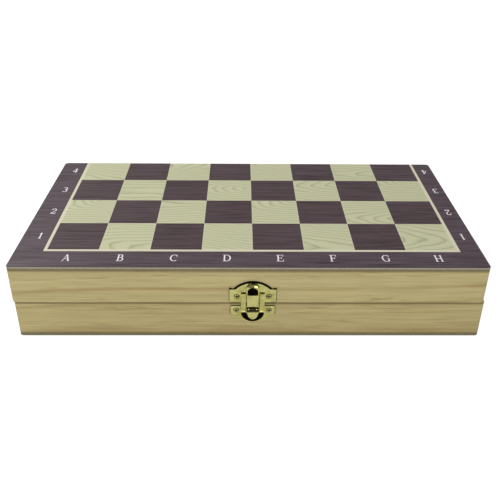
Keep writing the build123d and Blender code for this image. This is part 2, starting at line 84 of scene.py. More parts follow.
def calculate(tree, operation, *terms):
    """The result of one sum on numbers or sockets."""
    return add_node(tree, "ShaderNodeMath", dict(enumerate(terms)), operation=operation).outputs[0]


def seen_directly(tree):
    """One where the camera looks, straight, in a mirror or through glass, and zero for other light."""
    path = add_node(tree, "ShaderNodeLightPath").outputs
    mirrored = calculate(tree, "MAXIMUM", path["Is Camera Ray"], path["Is Glossy Ray"])
    return calculate(tree, "MAXIMUM", mirrored, path["Is Transmission Ray"])


def new_material(name):
    """An empty material and its tree."""
    material = bpy.data.materials.new(name)
    material.use_nodes = True
    material.node_tree.nodes.clear()
    return material, material.node_tree


def add_surface(tree, inputs, kind="ShaderNodeBsdfPrincipled"):
    """The last shader of a material, joined to its output."""
    shader = add_node(tree, kind, inputs)
    add_node(tree, "ShaderNodeOutputMaterial", {"Surface": shader.outputs[0]})


def new_mesh(name, points, faces):
    """A mesh from its corners and faces."""
    mesh = bpy.data.meshes.new(name)
    mesh.from_pydata(points, [], faces)
    return mesh


def new_object(name, contents):
    """An object round a mesh, a lamp or a camera, put into the scene."""
    made = bpy.data.objects.new(name, contents)
    scene.collection.objects.link(made)
    return made


scene = bpy.context.scene
scene.view_settings.view_transform = "Standard"

photo_size_px = 500
focal_length_px = 624.7
principal_row_px = 185
camera_place = Vector((-6.85, -393.6, 274.6)) * mm
camera_pitch = 0.475
camera_yaw = 0.0174
camera_roll = 0.012

ahead = Vector((math.sin(camera_yaw) * math.cos(camera_pitch),
                math.cos(camera_yaw) * math.cos(camera_pitch), -math.sin(camera_pitch)))
level_right = ahead.cross(Vector((0, 0, 1))).normalized()
level_up = level_right.cross(ahead)
camera_right = level_right * math.cos(camera_roll) + level_up * math.sin(camera_roll)
camera_up = level_up * math.cos(camera_roll) - level_right * math.sin(camera_roll)
camera_data = bpy.data.cameras.new("camera")
camera_data.sensor_width = 36
camera_data.lens = focal_length_px / photo_size_px * camera_data.sensor_width
camera_data.shift_y = (principal_row_px - photo_size_px / 2) / photo_size_px
camera_data.clip_start = 10 * mm
camera = new_object("camera", camera_data)
camera.matrix_world = Matrix.Translation(camera_place) @ Matrix(
    (camera_right, camera_up, -ahead)).transposed().to_4x4()
scene.camera = camera

sky_strength = 0.5
world = bpy.data.worlds.new("studio")
scene.world = world
world.use_nodes = True
world.node_tree.nodes.clear()
sky = world.node_tree
sky_level = add_node(sky, "ShaderNodeMapRange", {
    "Value": seen_directly(sky), "To Min": sky_strength, "To Max": 1.0})
sky_light = add_node(sky, "ShaderNodeBackground", {"Color": (1, 1, 1, 1), "Strength": sky_level.outputs[0]})
add_node(sky, "ShaderNodeOutputWorld", {"Surface": sky_light.outputs[0]})

for name, place, size, power in [
    ("window_softbox", (-0.75, 0.35, 0.85), 0.6, 6.5),
    ("front_softbox", (-0.1, -1.1, 0.6), 0.8, 7.0),
]:
    softbox_light = bpy.data.lights.new(name, "AREA")
    softbox_light.size = size
    softbox_light.energy = power
    softbox = new_object(name, softbox_light)
    softbox.location = place
    softbox.rotation_euler = (-Vector(place)).to_track_quat("-Z", "Y").to_euler()

floor_reach = 12.0
floor_drop = 0.1 * mm
paper_white = (0.8, 0.8, 0.8, 1)
paper_seen_grey = (0.42, 0.42, 0.42, 1)
paper_glow = 0.79
floor_corners = [(-1, -1), (1, -1), (1, 1), (-1, 1)]
floor_mesh = new_mesh("floor", [(x * floor_reach, y * floor_reach, -floor_drop) for x, y in floor_corners],
                      [(0, 1, 2, 3)])
floor = new_object("floor", floor_mesh)
floor_paper, tree = new_material("floor_paper")
paper = add_node(tree, "ShaderNodeBsdfDiffuse", {"Color": paper_white})
paper_seen = add_node(tree, "ShaderNodeBsdfDiffuse", {"Color": paper_seen_grey})
glow = add_node(tree, "ShaderNodeEmission", {"Strength": paper_glow})
paper_lit = add_node(tree, "ShaderNodeAddShader", {0: paper_seen.outputs[0], 1: glow.outputs[0]})
from_above = add_node(tree, "ShaderNodeMixShader", {
    0: seen_directly(tree), 1: paper.outputs[0], 2: paper_lit.outputs[0]})
from_below = add_node(tree, "ShaderNodeBsdfTransparent")
side_seen = add_node(tree, "ShaderNodeNewGeometry")
add_surface(tree, {0: side_seen.outputs["Backfacing"], 1: from_above.outputs[0], 2: from_below.outputs[0]},
            "ShaderNodeMixShader")
floor_mesh.materials.append(floor_paper)

curtain_left = -0.8
curtain_right = 2.6
curtain_line = [(1.2, 0.35), (1.6, 1.9), (-0.7, 2.2)]
curtain_colour = (0.012, 0.012, 0.014, 1)
curtain_corners = [(x, y, z) for y, z in curtain_line for x in (curtain_left, curtain_right)]
curtain_mesh = new_mesh("curtain", curtain_corners, [(0, 1, 3, 2), (2, 3, 5, 4)])
curtain = new_object("curtain", curtain_mesh)
for way in ("camera", "diffuse", "transmission", "shadow"):
    setattr(curtain, f"visible_{way}", False)
dark_curtain, tree = new_material("dark_curtain")
add_surface(tree, {"Color": curtain_colour}, "ShaderNodeBsdfDiffuse")
curtain_mesh.materials.append(dark_curtain)


# The rails are planed pine strips, glued along the edges of each board panel: long ones at the
# front and the back, short ones between them. The wood is bare, with a few late-wood bands and
# short dark resin streaks along it, and its sharp corners are sanded.
def new_group(name, inputs, outputs):
    """An empty shader group, its input node and its output node."""
    group = bpy.data.node_groups.new(name, "ShaderNodeTree")
    for socket, kind, value in inputs:
        made = group.interface.new_socket(name=socket, in_out="INPUT", socket_type=kind)
        if value is not None:
            made.default_value = value
    for socket in outputs:
        group.interface.new_socket(name=socket, in_out="OUTPUT", socket_type="NodeSocketFloat")
    return group, group.nodes.new("NodeGroupInput"), group.nodes.new("NodeGroupOutput")


def use_group(tree, group, inputs):
    """That group as a node in a tree, with its own values."""
    return add_node(tree, "ShaderNodeGroup", inputs, node_tree=group)


def blend_colours(tree, amount, under, over, blend_type="MIX"):
    """The colour over laid on the colour under."""
    mixed = add_node(tree, "ShaderNodeMix", {0: amount, 6: under, 7: over}, data_type="RGBA",
                     blend_type=blend_type)
    return mixed.outputs[2]


def noise(tree, vector, scale, detail=2.0, roughness=0.5):
    """The strength of a cloudy noise along a vector whose axes are stretched by scale."""
    stretched = add_node(tree, "ShaderNodeVectorMath", {0: vector, 1: scale}, operation="MULTIPLY")
    return add_node(tree, "ShaderNodeTexNoise", {"Vector": stretched.outputs[0], "Scale": 1.0,
                                                 "Detail": detail, "Roughness": roughness}).outputs[0]


def ramp(tree, value, stops):
    """A colour ramp from grey stops, as (position, level) pairs."""
    made = add_node(tree, "ShaderNodeValToRGB", {0: value})
    elements = made.color_ramp.elements
    while len(elements) < len(stops):
        elements.new(0.5)
    for element, (position, level) in zip(elements, stops):
        element.position = position
        element.color = (level, level, level, 1)
    return made.outputs[0]


def spread_about(tree, share, middle, spread):
    """A share, 0 to 1, as a value that lies within a spread round a middle."""
    return calculate(tree, "MULTIPLY_ADD", share, spread, middle - spread / 2)


late_wood = [(0.0, 0.1), (0.1, 0.0), (0.55, 0.05), (0.8, 0.45), (0.9, 1.0), (1.0, 0.1)]
wander_stretch = (1, 2.5, 2.5)
fibre_stretch = (30, 1100, 1100)
dash_stretch = (70, 1500, 1500)
patch_stretch = (9, 160, 160)
wood_grain, given, result = new_group(
    "wood grain",
    [("Vector", "NodeSocketVector", None), ("Ring Spacing", "NodeSocketFloat", 6 * mm),
     ("Waviness", "NodeSocketFloat", 4 * mm), ("Wave Length", "NodeSocketFloat", 120 * mm)],
    ["Rings", "Fibres", "Streaks"])
along = given.outputs["Vector"]
waves = calculate(wood_grain, "DIVIDE", 1.0, given.outputs["Wave Length"])
slow = add_node(wood_grain, "ShaderNodeVectorMath", {0: along, "Scale": waves}, operation="SCALE")
wander = calculate(wood_grain, "SUBTRACT", noise(wood_grain, slow.outputs[0], wander_stretch, 2.0, 0.45), 0.5)
wander = calculate(wood_grain, "MULTIPLY", wander, given.outputs["Waviness"])
parts = add_node(wood_grain, "ShaderNodeSeparateXYZ", {0: along})
radius = calculate(wood_grain, "SQRT", calculate(
    wood_grain, "ADD", calculate(wood_grain, "POWER", parts.outputs["Y"], 2.0),
    calculate(wood_grain, "POWER", parts.outputs["Z"], 2.0)))
year = calculate(wood_grain, "FRACT", calculate(
    wood_grain, "DIVIDE", calculate(wood_grain, "ADD", radius, wander), given.outputs["Ring Spacing"]))
dashes = ramp(wood_grain, noise(wood_grain, along, dash_stretch, 1.0, 0.4), [(0.6, 0.0), (0.68, 1.0)])
patches = ramp(wood_grain, noise(wood_grain, along, patch_stretch, 1.0, 0.5), [(0.48, 0.0), (0.6, 1.0)])
wood_grain.links.new(ramp(wood_grain, year, late_wood), result.inputs["Rings"])
wood_grain.links.new(noise(wood_grain, along, fibre_stretch, 3.0, 0.6), result.inputs["Fibres"])
wood_grain.links.new(calculate(wood_grain, "MULTIPLY", dashes, patches), result.inputs["Streaks"])


def dress(names, material):
    """Give the named pieces that material in all their slots."""
    for name in names:
        for slot in nodes[name].material_slots:
            slot.material = material


weld_reach = 1e-6
flat_angle = math.radians(0.5)
corner_angle = math.radians(30)


def ease_edges(pieces, width, segments=2):
    """Take the sharpness off the corners of those pieces, as sanding or tumbling does."""
    for piece in pieces:
        merge = piece.modifiers.new("merge", "WELD")
        merge.merge_threshold = weld_reach
        flatten = piece.modifiers.new("flatten", "DECIMATE")
        flatten.decimate_type = "DISSOLVE"
        flatten.angle_limit = flat_angle
        easing = piece.modifiers.new("ease", "BEVEL")
        easing.width = width
        easing.segments = segments
        easing.limit_method = "ANGLE"
        easing.angle_limit = corner_angle


def within(tree, value, low, high):
    """One where a value lies between two limits, and zero elsewhere."""
    return calculate(tree, "COMPARE", value, (low + high) / 2, (high - low) / 2)


box_height = cad_high.z
half_depth = -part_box("lower_front_rail")[0].y
seam_height = (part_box("lower_front_rail")[1].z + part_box("upper_front_rail")[0].z) / 2
latch_middle = (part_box("latch_base_plate")[0].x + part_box("latch_base_plate")[1].x) / 2


def beside_latch(tree, spot):
    """How far a place lies from the latch's middle line."""
    return calculate(tree, "ABSOLUTE", calculate(tree, "SUBTRACT", spot.outputs["X"], latch_middle))


def above_seam(tree, spot):
    """How far a place lies above the seam between the halves."""
    return calculate(tree, "SUBTRACT", spot.outputs["Z"], seam_height)


def distance_from(tree, spot, middle_x, middle_z):
    """How far a place is from a point beside the latch's middle line and above the seam."""
    aside = calculate(tree, "SUBTRACT", beside_latch(tree, spot), middle_x)
    above = calculate(tree, "SUBTRACT", above_seam(tree, spot), middle_z)
    return calculate(tree, "SQRT", calculate(tree, "ADD", calculate(tree, "MULTIPLY", aside, aside),
                                             calculate(tree, "MULTIPLY", above, above)))


# Each shade that the latch throws on the wood: from where to where beside its middle line, from
# where to where above the seam, both in millimetres, and how dark it is.
latch_shades = {
    "behind the windows": (0.0, 7.2, -7.4, 12.4, 1.0),
    "beside the strike plate": (14.7, 15.3, 0.8, 11.6, 0.55),
    "beside the base plate": (14.1, 14.7, -8.8, -2.5, 0.5),
    "under the strike plate": (0.0, 14.7, -0.6, 0.8, 0.7),
    "over the base plate": (0.0, 14.1, -2.5, -1.7, 0.8),
}
base_window_middle = -7.0 * mm
base_window_shade = 7.3 * mm
skin_depth = 0.2 * mm
deep_shade = (0.004, 0.003, 0.002, 1)


def latch_shadow(tree, spot):
    """How dark the front of the wood is behind the latch's windows and along its plates."""
    aside = beside_latch(tree, spot)
    above = above_seam(tree, spot)
    from_window = distance_from(tree, spot, 0.0, base_window_middle)
    shadow = calculate(tree, "LESS_THAN", from_window, base_window_shade)
    for inner, outer, foot_line, top_line, strength in latch_shades.values():
        patch = calculate(tree, "MULTIPLY", within(tree, aside, inner * mm, outer * mm),
                          within(tree, above, foot_line * mm, top_line * mm))
        shadow = calculate(tree, "MAXIMUM", shadow, calculate(tree, "MULTIPLY", patch, strength))
    on_front = calculate(tree, "LESS_THAN", spot.outputs["Y"], skin_depth - half_depth)
    return calculate(tree, "MULTIPLY", shadow, on_front)


pine_pale = srgb(175, 162, 115)
pine_band = srgb(143, 123, 75)
pine_streak = srgb(140, 117, 76)
pine_shadow_colour = srgb(94, 78, 44)
pine_bands = [(0.045, 0.8), (0.08, 0.8), (0.12, 0.65), (0.16, 0.45), (0.19, 0.15), (0.3, 0.28), (0.345, 0.45),
              (0.36, 0.25), (0.41, 0.45), (0.42, 0.25), (0.46, 0.5), (0.49, 0.8), (0.51, 0.1), (0.58, 0.0),
              (0.6, 0.35), (0.612, 0.05), (0.665, 0.1), (0.685, 0.8), (0.7, 1.0), (0.717, 0.8), (0.738, 0.15),
              (0.78, 0.0), (0.86, 0.0), (0.872, 0.3), (0.885, 0.1), (0.93, 0.3)]
# Painted shade on the rails' upright faces, as (height share, strength) stops: near the foot, under the seam
# and under the panel.
painted_rail_shade_stops = [(0.045, 0.6), (0.065, 0.0), (0.468, 0.0), (0.484, 0.7), (0.4995, 1.0), (0.5, 0.0),
                (0.925, 0.0), (0.942, 0.45), (0.955, 0.9)]
band_strength = 0.85
streak_strength = 0.55
rail_shade_strength = 0.9
band_climb = 0.06
climb_reach = 140 * mm
band_wander = 0.04
band_wander_stretch = (11, 4, 14)
band_break_stretch = (22, 90, 260)
upright_limit = 0.9
pine_lustre = 0.25
pine_easing = 0.35 * mm
pine_turn = {"long": 0.0, "end": math.pi / 2}
pine_rails = {
    "long": [f"{half}_{side}_rail" for half in ("lower", "upper") for side in ("front", "rear")],
    "end": [f"{half}_{side}_rail" for half in ("lower", "upper") for side in ("left", "right")],
}


def flatness(tree, place):
    """How level a face lies: one when it is flat, and zero when it is upright."""
    facing = add_node(tree, "ShaderNodeSeparateXYZ", {0: place.outputs["Normal"]})
    return calculate(tree, "ABSOLUTE", facing.outputs["Z"])


for run, names in pine_rails.items():
    pine, tree = new_material(f"pine_{run}")
    place = add_node(tree, "ShaderNodeTexCoord")
    turned = add_node(tree, "ShaderNodeMapping", {"Vector": place.outputs["Object"],
                                                  "Rotation": (0, 0, pine_turn[run])}).outputs[0]
    grain = use_group(tree, wood_grain, {"Vector": turned})
    spot = add_node(tree, "ShaderNodeSeparateXYZ", {0: place.outputs["Object"]})
    run_spot = add_node(tree, "ShaderNodeSeparateXYZ", {0: turned})
    height = calculate(tree, "DIVIDE", spot.outputs["Z"], box_height)
    climb = calculate(tree, "POWER", calculate(tree, "DIVIDE", run_spot.outputs["X"], climb_reach), 3.0)
    wander = spread_about(tree, noise(tree, turned, band_wander_stretch, 1.5, 0.4), 0.0, band_wander)
    wander = calculate(tree, "MULTIPLY_ADD", climb, -band_climb, wander)
    broken = ramp(tree, noise(tree, turned, band_break_stretch, 2.0, 0.6), [(0.4, 0.45), (0.6, 1.0)])
    bands = ramp(tree, calculate(tree, "ADD", height, wander), pine_bands)
    bands = calculate(tree, "MULTIPLY", bands, broken)
    colour = blend_colours(tree, calculate(tree, "MULTIPLY", bands, band_strength), pine_pale, pine_band)
    streaks = calculate(tree, "MULTIPLY", grain.outputs["Streaks"], streak_strength)
    colour = blend_colours(tree, streaks, colour, pine_streak)
    upright = calculate(tree, "LESS_THAN", flatness(tree, place), upright_limit)
    # Painted shade darkens the rails near the foot of the box, along the top of the lower rail under the
    # seam, and under the board panel.
    rail_shade = calculate(tree, "MULTIPLY", ramp(tree, height, painted_rail_shade_stops), upright)
    colour = blend_colours(tree, calculate(tree, "MULTIPLY", rail_shade, rail_shade_strength), colour, pine_shadow_colour)
    fibre_shade = ramp(tree, grain.outputs["Fibres"], [(0.3, 0.44), (0.7, 0.56)])
    colour = blend_colours(tree, 1.0, colour, fibre_shade, "OVERLAY")
    lustre = pine_lustre
    if run == "long":
        shadow = latch_shadow(tree, spot)
        colour = blend_colours(tree, shadow, colour, deep_shade)
        lustre = calculate(tree, "MULTIPLY_ADD", shadow, -pine_lustre, pine_lustre)
    raised = calculate(tree, "SUBTRACT", grain.outputs["Fibres"], grain.outputs["Streaks"])
    bump = add_node(tree, "ShaderNodeBump", {"Strength": 0.25, "Distance": 0.2 * mm, "Height": raised})
    add_surface(tree, {"Base Color": colour, "Roughness": 0.6, "Normal": bump.outputs[0],
                       "Specular IOR Level": lustre})
    dress(names, pine)
    ease_edges([nodes[name] for name in names], pine_easing)


# The board panels are thin fibreboard, pressed brown and sealed at the edge with a grey-olive
# stain; the upper panel's edge is paler along its top millimetre. Each has a shallow bed for the
# steel, and is glued over its rails.
panel_face = srgb(150, 128, 92)
panel_edge = srgb(105, 98, 68)
panel_arris = srgb(142, 134, 113)
arris_depth = 1.0 * mm
flat_limit = 0.5
fleck_stretch = (900, 900, 900)
fibreboard, tree = new_material("fibreboard")
place = add_node(tree, "ShaderNodeTexCoord")
spot = add_node(tree, "ShaderNodeSeparateXYZ", {0: place.outputs["Object"]})
flecks = noise(tree, place.outputs["Object"], fleck_stretch, 3.0, 0.7)
on_arris = calculate(tree, "GREATER_THAN", spot.outputs["Z"], box_height - arris_depth)
colour = blend_colours(tree, on_arris, panel_edge, panel_arris)
colour = blend_colours(tree, calculate(tree, "GREATER_THAN", flatness(tree, place), flat_limit), colour,
                       panel_face)
colour = blend_colours(tree, 1.0, colour, ramp(tree, flecks, [(0.3, 0.38), (0.7, 0.62)]), "OVERLAY")
bump = add_node(tree, "ShaderNodeBump", {"Strength": 0.3, "Distance": 0.2 * mm, "Height": flecks})
add_surface(tree, {"Base Color": colour, "Roughness": 0.7, "Normal": bump.outputs[0]})
dress(["lower_board_panel", "upper_board_panel"], fibreboard)


# The steel sheets are thin cold-rolled tinplate, laid in the panels' beds under the print. They
# hold the magnets, and nothing of them shows on a whole set.
steel_colour = srgb(176, 178, 182)
rolled_stretch = (40, 2500, 2500)
steel_roughness = 0.4
steel_roughness_spread = 0.2
steel, tree = new_material("rolled_steel")
place = add_node(tree, "ShaderNodeTexCoord")
rolled = noise(tree, place.outputs["Object"], rolled_stretch, 2.0, 0.5)
gloss = spread_about(tree, rolled, steel_roughness, steel_roughness_spread)
add_surface(tree, {"Base Color": steel_colour, "Metallic": 1.0, "Roughness": gloss})
dress(["lower_steel_sheet", "upper_steel_sheet"], steel)


# The playing sheets are printed and laminated, glued over the steel and the panel. Four rows of
# the board are on each: wood-grained squares, a pale line round them and a dark border. The sheet
# is cut through the fourth row at the hinges.
square = 32.98 * mm
half_files = 4.0
line_width = 2.08 * mm
front_margin = 20.2 * mm
print_offset = 1.4 * mm
square_outline = 0.45 * mm
edge_line = 0.9 * mm
dark_square = srgb(92, 77, 82)
dark_streak = srgb(52, 37, 37)
border_dark = srgb(97, 84, 92)
border_streak = srgb(60, 47, 50)
border_edge = srgb(66, 55, 57)
light_square = srgb(198, 198, 163)
light_streak = srgb(150, 153, 112)
pale_line = srgb(214, 208, 182)
sheet_edge = srgb(168, 160, 142)
ring_strength = 0.75
outline_strength = 0.7
pore_strength = 0.9
edge_strength = 0.8
laminate_roughness = 0.45
laminate_roughness_spread = 0.1
pith_spread = 50 * mm
slant_spread = 0.5
tilt_spread = 0.9
ring_depth = 11 * mm
ring_depth_spread = 12 * mm


def edge_distance(tree, place_in_row):
    """How far a place in squares is from the nearest line between two squares, in squares."""
    from_centre = calculate(tree, "SUBTRACT", calculate(tree, "FRACT", place_in_row), 0.5)
    return calculate(tree, "SUBTRACT", 0.5, calculate(tree, "ABSOLUTE", from_centre))


def in_own_square(tree, place_in_row):
    """How far a place lies from the middle of its own square."""
    return calculate(tree, "MULTIPLY_ADD", calculate(tree, "FRACT", place_in_row), square, -square / 2)


def inside_frame(tree, from_middle, upward, reach):
    """One on the squares and within a reach round them, and zero outside."""
    between_sides = calculate(tree, "LESS_THAN", from_middle, half_files * square + reach)
    return calculate(tree, "MULTIPLY", between_sides, calculate(tree, "GREATER_THAN", upward, -reach))


print_face, tree = new_material("printed_sheet")
place = add_node(tree, "ShaderNodeTexCoord")
spot = add_node(tree, "ShaderNodeSeparateXYZ", {0: place.outputs["Object"]})
across = calculate(tree, "SUBTRACT", spot.outputs["X"], print_offset)
upward = calculate(tree, "SUBTRACT", spot.outputs["Y"], front_margin - half_depth)
from_middle = calculate(tree, "ABSOLUTE", across)
on_upper = calculate(tree, "GREATER_THAN", spot.outputs["Z"], seam_height)
file_place = calculate(tree, "ADD", calculate(tree, "DIVIDE", across, square), half_files)
rank_place = calculate(tree, "DIVIDE", upward, square)
file_number = calculate(tree, "FLOOR", file_place)
rank_number = calculate(tree, "FLOOR", rank_place)
parity = calculate(tree, "ADD", calculate(tree, "ADD", file_number, rank_number), on_upper)
is_light = calculate(tree, "FLOORED_MODULO", calculate(tree, "ADD", parity, 1.0), 2.0)
is_light = calculate(tree, "GREATER_THAN", is_light, 0.5)
in_grid = inside_frame(tree, from_middle, upward, 0.0)
in_line = inside_frame(tree, from_middle, upward, line_width)
nearest = calculate(tree, "MINIMUM", edge_distance(tree, file_place), edge_distance(tree, rank_place))
in_outline = calculate(tree, "LESS_THAN", nearest, square_outline / square)

cell = add_node(tree, "ShaderNodeCombineXYZ", {0: file_number, 1: rank_number, 2: on_upper})
luck = add_node(tree, "ShaderNodeTexWhiteNoise", {"Vector": cell.outputs[0]})
lucks = add_node(tree, "ShaderNodeSeparateColor", {0: luck.outputs["Color"]})
pith = spread_about(tree, lucks.outputs["Red"], 0.0, pith_spread)
slant = spread_about(tree, luck.outputs["Value"], 0.0, slant_spread)
tilt = spread_about(tree, lucks.outputs["Green"], 0.0, tilt_spread)
depth = spread_about(tree, lucks.outputs["Blue"], ring_depth, ring_depth_spread)
in_square = in_own_square(tree, file_place)
up_square = calculate(tree, "MULTIPLY_ADD", in_square, slant, in_own_square(tree, rank_place))
veneer = add_node(tree, "ShaderNodeCombineXYZ", {
    0: spot.outputs["X"], 1: calculate(tree, "ADD", up_square, pith),
    2: calculate(tree, "MULTIPLY_ADD", in_square, tilt, depth)})
light_grain = use_group(tree, wood_grain, {"Vector": veneer.outputs[0], "Ring Spacing": 2.7 * mm,
                                           "Waviness": 3.8 * mm, "Wave Length": 24 * mm})
dark_grain = use_group(tree, wood_grain, {"Vector": place.outputs["Object"]})
pores = ramp(tree, dark_grain.outputs["Fibres"], [(0.36, 0.0), (0.66, 1.0)])
dark_pores = calculate(tree, "MULTIPLY", pores, pore_strength)
light_rings = calculate(tree, "MULTIPLY", light_grain.outputs["Rings"], ring_strength)
light_colour = blend_colours(tree, light_rings, light_square, light_streak)
light_colour = blend_colours(tree, calculate(tree, "MULTIPLY", in_outline, outline_strength), light_colour,
                             pale_line)
dark_colour = blend_colours(tree, dark_pores, dark_square, dark_streak)
square_colour = blend_colours(tree, is_light, dark_colour, light_colour)
border_colour = blend_colours(tree, dark_pores, border_dark, border_streak)
at_edge = calculate(tree, "LESS_THAN", spot.outputs["Y"], edge_line - half_depth)
border_colour = blend_colours(tree, calculate(tree, "MULTIPLY", at_edge, edge_strength), border_colour,
                              border_edge)
colour = blend_colours(tree, in_line, border_colour, pale_line)
colour = blend_colours(tree, in_grid, colour, square_colour)
on_face = calculate(tree, "GREATER_THAN", flatness(tree, place), flat_limit)
colour = blend_colours(tree, on_face, sheet_edge, colour)
gloss = spread_about(tree, pores, laminate_roughness, laminate_roughness_spread)
bump = add_node(tree, "ShaderNodeBump", {"Strength": 0.12, "Distance": 0.1 * mm, "Height": pores})
add_surface(tree, {"Base Color": colour, "Roughness": gloss, "Normal": bump.outputs[0],
                   "Specular IOR Level": 0.4})
dress(["lower_playing_sheet", "upper_playing_sheet"], print_face)


# White printed letters name the files along each outer border, and numbers the ranks at both
# ends. They are serif capitals and figures, screen-printed in a thin white ink. Each is drawn here
# in strokes of a broad pen, on a square of one unit.
hairline = 0.058
stem = 0.145
serif = 0.04
swell = 1.4


def along_arc(centre, radii, start, end, steps=14):
    """Points and pen widths round a bowl: thick where it runs up and down, thin at top and foot."""
    found = []
    for step in range(steps + 1):
        angle = math.radians(start + (end - start) * step / steps)
        point = (centre[0] + radii[0] * math.cos(angle), centre[1] + radii[1] * math.sin(angle))
        found.append((point, hairline + (stem - hairline) * abs(math.cos(angle)) ** swell))
    return found


def along_bar(start, end, width):
    """The two ends of a straight stroke of one width."""
    return [(start, width), (end, width)]


def foot(x, y, reach=0.14):
    """A serif across a stem's end at that height."""
    middle_y = y + (serif / 2 if y == 0 else -serif / 2)
    return along_bar((x - reach, middle_y), (x + reach, middle_y), serif)


glyphs = {
    "A": [along_bar((0.14, 0.02), (0.42, 1.0), hairline), along_bar((0.4, 1.0), (0.74, 0.02), stem),
          along_bar((0.22, 0.33), (0.62, 0.33), hairline), foot(0.14, 0, 0.11), foot(0.74, 0, 0.13)],
    "B": [along_bar((0.2, 0), (0.2, 1), stem), foot(0.16, 0), foot(0.16, 1),
          along_bar((0.2, 0.972), (0.4, 0.972), hairline), along_arc((0.4, 0.75), (0.2, 0.222), 90, -90),
          along_bar((0.2, 0.528), (0.42, 0.528), hairline), along_arc((0.42, 0.278), (0.26, 0.25), 90, -90),
          along_bar((0.2, 0.028), (0.42, 0.028), hairline)],
    "C": [along_arc((0.48, 0.5), (0.37, 0.472), 52, 312, 24),
          along_bar((0.76, 0.66), (0.76, 0.98), hairline)],
    "D": [along_bar((0.2, 0), (0.2, 1), stem), foot(0.16, 0), foot(0.16, 1),
          along_bar((0.2, 0.972), (0.38, 0.972), hairline),
          along_arc((0.38, 0.5), (0.42, 0.472), 90, -90, 20),
          along_bar((0.2, 0.028), (0.38, 0.028), hairline)],
    "E": [along_bar((0.2, 0), (0.2, 1), stem), foot(0.16, 0), foot(0.16, 1),
          along_bar((0.2, 0.972), (0.7, 0.972), hairline), along_bar((0.7, 0.74), (0.7, 1.0), hairline),
          along_bar((0.2, 0.52), (0.54, 0.52), hairline), along_bar((0.54, 0.4), (0.54, 0.64), hairline),
          along_bar((0.2, 0.028), (0.74, 0.028), hairline), along_bar((0.74, 0), (0.74, 0.28), hairline)],
    "F": [along_bar((0.2, 0), (0.2, 1), stem), foot(0.2, 0, 0.18), foot(0.16, 1),
          along_bar((0.2, 0.972), (0.7, 0.972), hairline), along_bar((0.7, 0.74), (0.7, 1.0), hairline),
          along_bar((0.2, 0.5), (0.54, 0.5), hairline), along_bar((0.54, 0.38), (0.54, 0.62), hairline)],
    "G": [along_arc((0.48, 0.5), (0.37, 0.472), 52, 322, 24),
          along_bar((0.76, 0.66), (0.76, 0.98), hairline),
          along_bar((0.74, 0.06), (0.74, 0.44), stem * 0.85), foot(0.74, 0.46, 0.15)],
    "H": [along_bar((0.2, 0), (0.2, 1), stem), foot(0.2, 0), foot(0.2, 1),
          along_bar((0.2, 0.5), (0.74, 0.5), hairline),
          along_bar((0.74, 0), (0.74, 1), stem), foot(0.74, 0), foot(0.74, 1)],
    "1": [along_bar((0.3, 0), (0.3, 1), stem), foot(0.3, 0, 0.2),
          along_bar((0.1, 0.84), (0.3, 0.97), hairline)],
    "2": [along_arc((0.31, 0.72), (0.23, 0.252), 165, -35),
          along_bar((0.5, 0.6), (0.09, 0.08), hairline * 1.5),
          along_bar((0.06, 0.06), (0.58, 0.06), 0.12), along_bar((0.58, 0.04), (0.61, 0.25), hairline)],
    "3": [along_arc((0.28, 0.745), (0.21, 0.228), 150, -90),
          along_arc((0.28, 0.28), (0.26, 0.252), 90, -150)],
    "4": [along_bar((0.44, 1.0), (0.04, 0.3), hairline * 1.2), along_bar((0.03, 0.28), (0.66, 0.28), 0.075),
          along_bar((0.44, 0), (0.44, 1), stem), foot(0.44, 0)],
    "5": [along_bar((0.13, 0.945), (0.54, 0.945), 0.11), along_bar((0.14, 0.98), (0.1, 0.5), hairline),
          along_arc((0.29, 0.3), (0.26, 0.272), 135, -150)],
    "6": [along_arc((0.52, 0.35), (0.42, 0.622), 95, 180), along_arc((0.33, 0.3), (0.23, 0.272), 0, 180),
          along_arc((0.33, 0.3), (0.23, 0.272), 180, 360)],
    "7": [along_bar((0.06, 0.94), (0.6, 0.94), 0.12), along_bar((0.07, 0.74), (0.06, 0.98), hairline),
          along_bar((0.56, 0.94), (0.25, 0.0), 0.12)],
    "8": [along_arc((0.32, 0.755), (0.18, 0.218), 0, 180), along_arc((0.32, 0.755), (0.18, 0.218), 180, 360),
          along_arc((0.32, 0.28), (0.23, 0.252), 0, 180), along_arc((0.32, 0.28), (0.23, 0.252), 180, 360)],
}


def stroke_outline(stroke):
    """The closed outline of one pen stroke: out along its left side and back along its right."""
    left, right = [], []
    for i, ((x, y), width) in enumerate(stroke):
        before, after = stroke[max(i - 1, 0)][0], stroke[min(i + 1, len(stroke) - 1)][0]
        run = Vector(after) - Vector(before)
        aside = Vector((-run.y, run.x)).normalized() * width / 2
        left.append(Vector((x, y)) + aside)
        right.append(Vector((x, y)) - aside)
    return right + left[::-1]


inside_outlines = 1
joining_reach = 1e-5


def ink_glyph(name):
    """The flat triangles of one character, its strokes joined, centred on its own middle."""
    points, outlines = [], []
    for stroke in glyphs[name]:
        outline = stroke_outline(stroke)
        outlines.append(list(range(len(points), len(points) + len(outline))))
        points += outline
    corners, _, faces, _, _, inked = delaunay_2d_cdt(points, [], outlines, inside_outlines, joining_reach)
    middle = (min(p.x for p in corners) + max(p.x for p in corners)) / 2
    inside = [face for face, strokes in zip(faces, inked) if strokes]
    return [Vector((p.x - middle, p.y - 0.5)) for p in corners], inside


character_height = 7.2 * mm
narrowing = 0.84
letter_line = 10.7 * mm
letter_pitch = 33.55 * mm
letter_offset = 1.6 * mm
number_reach = 140.9 * mm
number_offset = 1.5 * mm
ink_thickness = 0.03 * mm
ink_white = srgb(244, 240, 244)
ink_worn = srgb(222, 214, 220)
wear_stretch = (1500, 1500, 1500)

